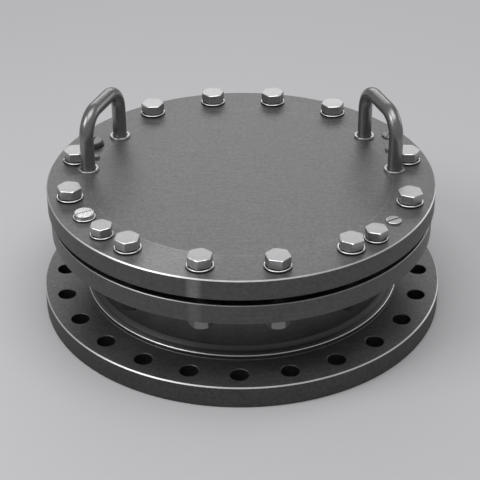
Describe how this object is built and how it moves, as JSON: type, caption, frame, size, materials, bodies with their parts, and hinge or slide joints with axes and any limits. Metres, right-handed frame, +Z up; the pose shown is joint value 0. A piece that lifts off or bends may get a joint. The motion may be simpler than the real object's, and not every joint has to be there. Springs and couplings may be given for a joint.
{
  "type": "tank manway cover",
  "caption": "Round blind cover bolted over a gasket to a short flanged neck, with bar handles, jack screws and a drilled base flange.",
  "frame": {"origin": "centre of the base flange's underside, on the neck's axis", "axes": "+Z up along the neck's axis, towards the cover; front is -Y; the handles stand left and right on -X and +X"},
  "size_m": [0.6819, 0.682, 0.332],
  "materials": {
    "flange_steel": "finely brushed dark gunmetal, satin",
    "neck_steel": "rolled pipe, dull",
    "weld_metal": "dressed weld bead, semi-bright",
    "handle_steel": "drawn round bar, satin",
    "fastener_steel": "bright forged, light satin",
    "oxide_steel": "matte black oxide",
    "gasket_rubber": "matt black sheet"
  },
  "bodies": {
    "base": {"base_flange": "flange_steel", "base_outer_weld": "weld_metal", "base_inner_weld": "weld_metal", "neck_pipe": "neck_steel", "neck_flange": "flange_steel", "neck_flange_outer_weld": "weld_metal", "neck_flange_inner_weld": "weld_metal", "gasket": "gasket_rubber"},
    "cover": {"cover_plate": "flange_steel", "left_handle": "handle_steel", "left_handle_collars": "weld_metal", "right_handle": "handle_steel", "right_handle_collars": "weld_metal", "earthing_pins": "fastener_steel"},
    "bolt_01": {"cover_bolt_01": "fastener_steel", "bolt_washer_01": "fastener_steel"},
    "nut_01": {"nut_01": "fastener_steel"},
    "bolt_02": {"cover_bolt_02": "fastener_steel", "bolt_washer_02": "fastener_steel"},
    "nut_02": {"nut_02": "oxide_steel"},
    "bolt_03": {"cover_bolt_03": "fastener_steel", "bolt_washer_03": "fastener_steel"},
    "nut_03": {"nut_03": "oxide_steel"},
    "bolt_04": {"cover_bolt_04": "fastener_steel", "bolt_washer_04": "fastener_steel"},
    "nut_04": {"nut_04": "oxide_steel"},
    "bolt_05": {"cover_bolt_05": "fastener_steel", "bolt_washer_05": "fastener_steel"},
    "nut_05": {"nut_05": "oxide_steel"},
    "bolt_06": {"cover_bolt_06": "fastener_steel", "bolt_washer_06": "fastener_steel"},
    "nut_06": {"nut_06": "oxide_steel"},
    "bolt_07": {"cover_bolt_07": "fastener_steel", "bolt_washer_07": "fastener_steel"},
    "nut_07": {"nut_07": "oxide_steel"},
    "bolt_08": {"cover_bolt_08": "fastener_steel", "bolt_washer_08": "fastener_steel"},
    "nut_08": {"nut_08": "oxide_steel"},
    "bolt_09": {"cover_bolt_09": "fastener_steel", "bolt_washer_09": "fastener_steel"},
    "nut_09": {"nut_09": "oxide_steel"},
    "bolt_10": {"cover_bolt_10": "fastener_steel", "bolt_washer_10": "fastener_steel"},
    "nut_10": {"nut_10": "oxide_steel"},
    "bolt_11": {"cover_bolt_11": "fastener_steel", "bolt_washer_11": "fastener_steel"},
    "nut_11": {"nut_11": "oxide_steel"},
    "bolt_12": {"cover_bolt_12": "fastener_steel", "bolt_washer_12": "fastener_steel"},
    "nut_12": {"nut_12": "fastener_steel"},
    "left_jack_screw": {"left_jack_screw": "fastener_steel", "left_jack_washer": "fastener_steel"},
    "right_jack_screw": {"right_jack_screw": "fastener_steel", "right_jack_washer": "fastener_steel"},
    "left_front_plug": {"left_front_plug": "fastener_steel", "left_front_plug_washer": "fastener_steel"},
    "left_rear_plug": {"left_rear_plug": "fastener_steel", "left_rear_plug_washer": "fastener_steel"},
    "right_front_plug": {"right_front_plug": "fastener_steel"},
    "right_rear_plug": {"right_rear_plug": "fastener_steel"}
  },
  "joints": [
    {"name": "cover_lift", "type": "slide", "parent": "base", "child": "cover", "axis": [0, 0, 1], "range_m": [0, 0.15]},
    {"name": "bolt_01_draw", "type": "slide", "parent": "cover", "child": "bolt_01", "axis": [0, 0, 1], "range_m": [0, 0.125]},
    {"name": "nut_01_run_off", "type": "slide", "parent": "base", "child": "nut_01", "axis": [0, 0, -1], "range_m": [0, 0.04]},
    {"name": "bolt_02_draw", "type": "slide", "parent": "cover", "child": "bolt_02", "axis": [0, 0, 1], "range_m": [0, 0.125]},
    {"name": "nut_02_run_off", "type": "slide", "parent": "base", "child": "nut_02", "axis": [0, 0, -1], "range_m": [0, 0.04]},
    {"name": "bolt_03_draw", "type": "slide", "parent": "cover", "child": "bolt_03", "axis": [0, 0, 1], "range_m": [0, 0.125]},
    {"name": "nut_03_run_off", "type": "slide", "parent": "base", "child": "nut_03", "axis": [0, 0, -1], "range_m": [0, 0.04]},
    {"name": "bolt_04_draw", "type": "slide", "parent": "cover", "child": "bolt_04", "axis": [0, 0, 1], "range_m": [0, 0.125]},
    {"name": "nut_04_run_off", "type": "slide", "parent": "base", "child": "nut_04", "axis": [0, 0, -1], "range_m": [0, 0.04]},
    {"name": "bolt_05_draw", "type": "slide", "parent": "cover", "child": "bolt_05", "axis": [0, 0, 1], "range_m": [0, 0.125]},
    {"name": "nut_05_run_off", "type": "slide", "parent": "base", "child": "nut_05", "axis": [0, 0, -1], "range_m": [0, 0.04]},
    {"name": "bolt_06_draw", "type": "slide", "parent": "cover", "child": "bolt_06", "axis": [0, 0, 1], "range_m": [0, 0.125]},
    {"name": "nut_06_run_off", "type": "slide", "parent": "base", "child": "nut_06", "axis": [0, 0, -1], "range_m": [0, 0.04]},
    {"name": "bolt_07_draw", "type": "slide", "parent": "cover", "child": "bolt_07", "axis": [0, 0, 1], "range_m": [0, 0.125]},
    {"name": "nut_07_run_off", "type": "slide", "parent": "base", "child": "nut_07", "axis": [0, 0, -1], "range_m": [0, 0.04]},
    {"name": "bolt_08_draw", "type": "slide", "parent": "cover", "child": "bolt_08", "axis": [0, 0, 1], "range_m": [0, 0.125]},
    {"name": "nut_08_run_off", "type": "slide", "parent": "base", "child": "nut_08", "axis": [0, 0, -1], "range_m": [0, 0.04]},
    {"name": "bolt_09_draw", "type": "slide", "parent": "cover", "child": "bolt_09", "axis": [0, 0, 1], "range_m": [0, 0.125]},
    {"name": "nut_09_run_off", "type": "slide", "parent": "base", "child": "nut_09", "axis": [0, 0, -1], "range_m": [0, 0.04]},
    {"name": "bolt_10_draw", "type": "slide", "parent": "cover", "child": "bolt_10", "axis": [0, 0, 1], "range_m": [0, 0.125]},
    {"name": "nut_10_run_off", "type": "slide", "parent": "base", "child": "nut_10", "axis": [0, 0, -1], "range_m": [0, 0.04]},
    {"name": "bolt_11_draw", "type": "slide", "parent": "cover", "child": "bolt_11", "axis": [0, 0, 1], "range_m": [0, 0.125]},
    {"name": "nut_11_run_off", "type": "slide", "parent": "base", "child": "nut_11", "axis": [0, 0, -1], "range_m": [0, 0.04]},
    {"name": "bolt_12_draw", "type": "slide", "parent": "cover", "child": "bolt_12", "axis": [0, 0, 1], "range_m": [0, 0.125]},
    {"name": "nut_12_run_off", "type": "slide", "parent": "base", "child": "nut_12", "axis": [0, 0, -1], "range_m": [0, 0.04]},
    {"name": "left_jack_screw_draw", "type": "slide", "parent": "cover", "child": "left_jack_screw", "axis": [0, 0, 1], "range_m": [0, 0.055]},
    {"name": "right_jack_screw_draw", "type": "slide", "parent": "cover", "child": "right_jack_screw", "axis": [0, 0, 1], "range_m": [0, 0.055]},
    {"name": "left_front_plug_draw", "type": "slide", "parent": "cover", "child": "left_front_plug", "axis": [0, 0, 1], "range_m": [0, 0.025]},
    {"name": "left_rear_plug_draw", "type": "slide", "parent": "cover", "child": "left_rear_plug", "axis": [0, 0, 1], "range_m": [0, 0.025]},
    {"name": "right_front_plug_draw", "type": "slide", "parent": "cover", "child": "right_front_plug", "axis": [0, 0, 1], "range_m": [0, 0.025]},
    {"name": "right_rear_plug_draw", "type": "slide", "parent": "cover", "child": "right_rear_plug", "axis": [0, 0, 1], "range_m": [0, 0.025]}
  ]
}
